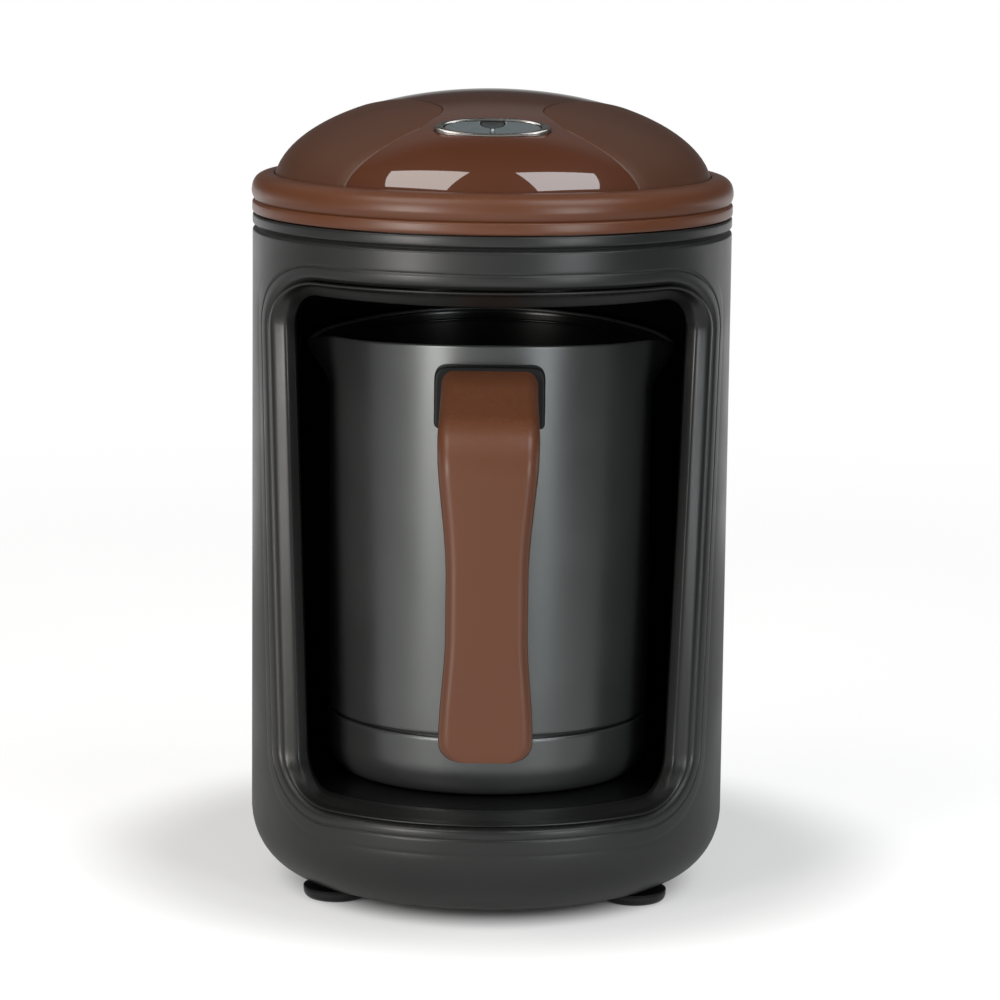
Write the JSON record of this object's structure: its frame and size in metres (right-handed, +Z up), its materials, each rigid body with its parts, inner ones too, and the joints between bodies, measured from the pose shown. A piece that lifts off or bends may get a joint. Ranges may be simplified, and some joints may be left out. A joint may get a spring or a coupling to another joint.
{
  "type": "electric turkish coffee maker",
  "caption": "Drum-shaped electric coffee maker with a domed control top and an open bay; its pot with pouring spouts and a cranked handle slides out.",
  "frame": {"origin": "on the table, under the middle of the footprint box of the whole object, pot and handle included", "axes": "+Z up, +Y to the back where the cord goes in, the handle points to -Y, +X to the right of someone who stands in front"},
  "size_m": [0.1406, 0.1618, 0.2345],
  "materials": {
    "drum_black": "satin",
    "gloss_black": "gloss",
    "brown": "satin",
    "gloss_brown": "gloss",
    "anthracite": "satin",
    "chrome": "polished",
    "pad": "satin",
    "rubber": "matte",
    "steel": "satin",
    "plate_aluminium": "cast",
    "contact_brass": "satin",
    "board": "satin",
    "light": "clear",
    "lens": "gloss",
    "relay_blue": "satin",
    "coil_yellow": "satin",
    "terminal_green": "satin",
    "ceramic": "matte",
    "wire": "satin",
    "wire_grey": "satin"
  },
  "bodies": {
    "base": {"body_shell": "drum_black", "front_bezel": "drum_black", "bay_liner": "gloss_black", "bay_floor": "gloss_black", "base_plate": "drum_black", "rubber_feet": "rubber", "base_screws": "steel", "top_deck": "drum_black", "deck_screws": "steel", "collar_ring": "brown", "dome_cover": "gloss_brown", "lobe_left": "brown", "lobe_right": "brown", "chrome_oval": "chrome", "control_hub": "gloss_black", "status_light": "light", "tact_switches": "rubber", "control_board": "board", "board_carrier": "drum_black", "buzzer": "rubber", "sensor_head": "gloss_black", "sensor_lens": "lens", "sensor_board": "board", "power_socket": "drum_black", "socket_contacts": "contact_brass", "socket_screws": "steel", "power_board": "board", "board_screws": "steel", "relay": "relay_blue", "transformer": "coil_yellow", "capacitor": "coil_yellow", "terminal_block": "terminal_green", "cable_gland": "drum_black", "cord_clamp": "drum_black", "clamp_screws": "steel", "socket_harness": "wire", "control_harness": "wire_grey"},
    "pot": {"pot_body": "anthracite", "pot_seal": "rubber", "pot_skirt": "anthracite", "pot_base_cover": "drum_black", "pot_screws": "steel", "heater_plate": "plate_aluminium", "heating_element": "steel", "thermostat": "ceramic", "thermal_fuse": "ceramic", "pot_plug": "drum_black", "pot_blades": "contact_brass", "handle_bracket": "drum_black", "handle_core": "steel", "handle_screws": "steel", "handle_shell": "brown", "handle_cover": "brown"},
    "pad_left": {"button_left": "pad"},
    "pad_right": {"button_right": "pad"},
    "switch_left": {"plunger_left": "rubber"},
    "switch_right": {"plunger_right": "rubber"}
  },
  "joints": [
    {"name": "pot_slide", "type": "slide", "parent": "base", "child": "pot", "axis": [0, -1, 0], "range_m": [0, 0.15]},
    {"name": "press_left", "type": "slide", "parent": "base", "child": "pad_left", "axis": [0, 0.3884, -0.9215], "range_m": [0, 0.0008], "stiffness_N_per_m": 1500, "springref_m": -0.0003},
    {"name": "press_right", "type": "slide", "parent": "base", "child": "pad_right", "axis": [0, 0.3884, -0.9215], "range_m": [0, 0.0008], "stiffness_N_per_m": 1500, "springref_m": -0.0003},
    {"name": "plunge_left", "type": "slide", "parent": "base", "child": "switch_left", "axis": [0, 0.3884, -0.9215], "range_m": [0, 0.0008]},
    {"name": "plunge_right", "type": "slide", "parent": "base", "child": "switch_right", "axis": [0, 0.3884, -0.9215], "range_m": [0, 0.0008]}
  ],
  "couplings": [
    {"joint": "plunge_left", "follows": "press_left", "ratio": 1},
    {"joint": "plunge_right", "follows": "press_right", "ratio": 1}
  ]
}
